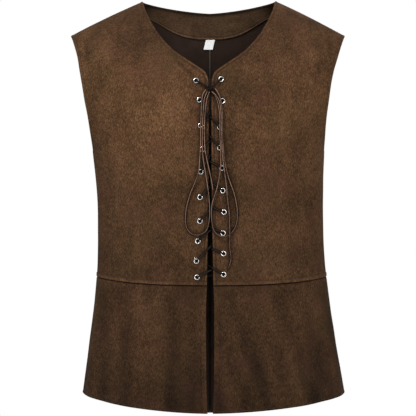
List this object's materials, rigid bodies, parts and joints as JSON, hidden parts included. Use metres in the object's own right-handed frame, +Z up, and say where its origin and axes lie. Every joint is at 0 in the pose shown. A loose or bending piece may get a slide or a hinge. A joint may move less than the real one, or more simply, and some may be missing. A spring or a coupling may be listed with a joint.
{
  "type": "suede vest",
  "caption": "Sleeveless hip-length suede vest in its worn, hollow shape, with a scooped neck, a waist seam and a front laced through metal eyelets and tied in a bow.",
  "frame": {"origin": "midway between the high points of the shoulders, where the wearer's shoulders carry the vest", "axes": "+Z up, -Y the way the laced front faces, +X the wearer's left; +Z is the longest extent and Y the shortest"},
  "size_m": [0.4797, 0.2531, 0.7401],
  "materials": {
    "suede": "matte brown suede nap",
    "facing": "matte brown suede",
    "label": "plain white woven tape, blank",
    "metal": "bright nickel",
    "lace": "matte brown suede lace"
  },
  "bodies": {
    "root": {"front_right": "suede", "front_left": "suede", "back_right": "suede", "back_left": "suede", "skirt_front_right": "suede", "skirt_front_left": "suede", "skirt_back_right": "suede", "skirt_back_left": "suede", "neck_facing": "facing", "label": "label", "eyelet_right_01": "metal", "eyelet_right_02": "metal", "eyelet_right_03": "metal", "eyelet_right_04": "metal", "eyelet_right_05": "metal", "eyelet_right_06": "metal", "eyelet_right_07": "metal", "eyelet_right_08": "metal", "eyelet_right_09": "metal", "eyelet_right_10": "metal", "eyelet_left_01": "metal", "eyelet_left_02": "metal", "eyelet_left_03": "metal", "eyelet_left_04": "metal", "eyelet_left_05": "metal", "eyelet_left_06": "metal", "eyelet_left_07": "metal", "eyelet_left_08": "metal", "eyelet_left_09": "metal", "eyelet_left_10": "metal", "lace": "lace", "knot": "lace", "loop_right": "lace", "loop_left": "lace", "tail_right": "lace", "tail_left": "lace"}
  },
  "joints": []
}
